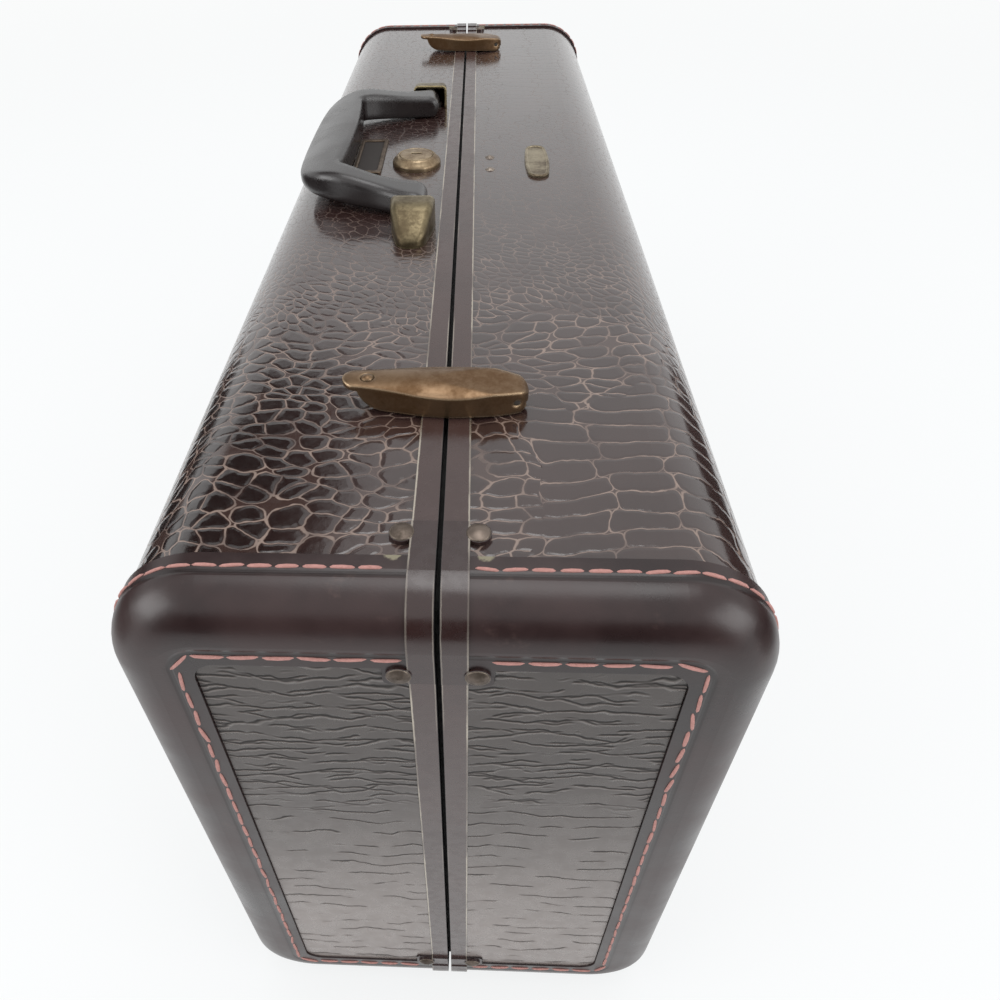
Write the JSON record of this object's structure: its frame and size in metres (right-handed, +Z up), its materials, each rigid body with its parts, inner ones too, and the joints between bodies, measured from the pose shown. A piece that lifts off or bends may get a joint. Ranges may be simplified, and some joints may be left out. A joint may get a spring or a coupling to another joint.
{
  "type": "hard-sided suitcase",
  "caption": "Hard-sided suitcase of two equal halves hinged at the foot, with a drop handle, a turn lock, lever latches, bound ends and glides.",
  "frame": {"origin": "on the floor, under the middle of the closed standing case", "axes": "+Z up from the hinge side to the handle side; +Y along the length of the case, to the far end in the picture; +X across the thickness, from the base half with the handle to the lid half"},
  "size_m": [0.1806, 0.5994, 0.2971],
  "materials": {
    "embossed_vinyl": "glossy, embossed with a reptile pattern",
    "end_panel_vinyl": "satin, embossed with wrinkles",
    "fibreboard": "matt raw board",
    "lining_cloth": "woven rayon glued to card",
    "pocket_cloth": "gathered woven rayon",
    "binding_leather": "waxed, worn smooth",
    "rail_aluminium": "dark lacquer worn bright at the edges",
    "browned_brass": "browned and lacquered, worn",
    "bare_steel": "plated, dulled",
    "nickelled_steel": "nickelled, scuffed",
    "handle_plastic": "moulded, polished by use",
    "name_insert_card": "blank celluloid over card"
  },
  "bodies": {
    "base": {"base_shell": "fibreboard", "base_cover": "embossed_vinyl", "base_lining": "lining_cloth", "base_rail": "rail_aluminium", "base_binding_near": "binding_leather", "base_binding_far": "binding_leather", "base_end_panel_near": "end_panel_vinyl", "base_end_panel_far": "end_panel_vinyl", "base_corner_straps": "browned_brass", "base_strap_rivets": "browned_brass", "base_glides": "nickelled_steel", "hinge_base_leaves": "bare_steel", "hinge_base_rivets": "bare_steel", "hinge_pins": "bare_steel", "handle_bearings": "bare_steel", "handle_hood_near": "browned_brass", "handle_hood_far": "browned_brass", "lock_escutcheon": "browned_brass", "lock_case": "bare_steel", "name_plate_frame": "browned_brass", "name_plate_insert": "name_insert_card", "latch_catch_near": "bare_steel", "latch_catch_far": "bare_steel"},
    "lid": {"lid_shell": "fibreboard", "lid_cover": "embossed_vinyl", "lid_lining": "lining_cloth", "lid_rail": "rail_aluminium", "lid_binding_near": "binding_leather", "lid_binding_far": "binding_leather", "lid_end_panel_near": "end_panel_vinyl", "lid_end_panel_far": "end_panel_vinyl", "lid_corner_straps": "browned_brass", "lid_strap_rivets": "browned_brass", "lid_glides": "nickelled_steel", "hinge_lid_leaves": "bare_steel", "hinge_lid_rivets": "bare_steel", "lid_pocket": "pocket_cloth", "lid_pocket_band": "pocket_cloth", "lock_strike": "bare_steel", "strike_rivets": "browned_brass", "badge": "browned_brass", "latch_bracket_near": "bare_steel", "latch_bracket_far": "bare_steel", "latch_pins": "bare_steel"},
    "handle": {"handle": "handle_plastic", "handle_trunnions": "bare_steel"},
    "latch_near": {"latch_lever_near": "browned_brass", "latch_hook_near": "bare_steel", "latch_rivet_near": "browned_brass"},
    "latch_far": {"latch_lever_far": "browned_brass", "latch_hook_far": "bare_steel", "latch_rivet_far": "browned_brass"},
    "lock_plug": {"lock_plug": "browned_brass"},
    "lock_bolt": {"lock_bolt": "bare_steel"}
  },
  "joints": [
    {"name": "lid_hinge", "type": "hinge", "parent": "base", "child": "lid", "pos_m": [0, 0, 0.0043], "axis": [0, 1, 0], "range_deg": [0, 165]},
    {"name": "handle_swing", "type": "hinge", "parent": "base", "child": "handle", "pos_m": [-0.0195, 0, 0.287], "axis": [0, 1, 0], "range_deg": [0, 170]},
    {"name": "latch_near_lift", "type": "hinge", "parent": "lid", "child": "latch_near", "pos_m": [0.022, -0.2135, 0.2849], "axis": [0, 1, 0], "range_deg": [0, 110]},
    {"name": "latch_far_lift", "type": "hinge", "parent": "lid", "child": "latch_far", "pos_m": [0.022, 0.2135, 0.2849], "axis": [0, 1, 0], "range_deg": [0, 110]},
    {"name": "lock_turn", "type": "hinge", "parent": "base", "child": "lock_plug", "pos_m": [-0.0225, -0.009, 0.2805], "axis": [0, 0, 1], "range_deg": [0, 90]},
    {"name": "bolt_slide", "type": "slide", "parent": "base", "child": "lock_bolt", "axis": [0, 1, 0], "range_m": [0, 0.0057]}
  ],
  "couplings": [
    {"joint": "bolt_slide", "follows": "lock_turn", "m_per_rad": 0.0036013}
  ]
}
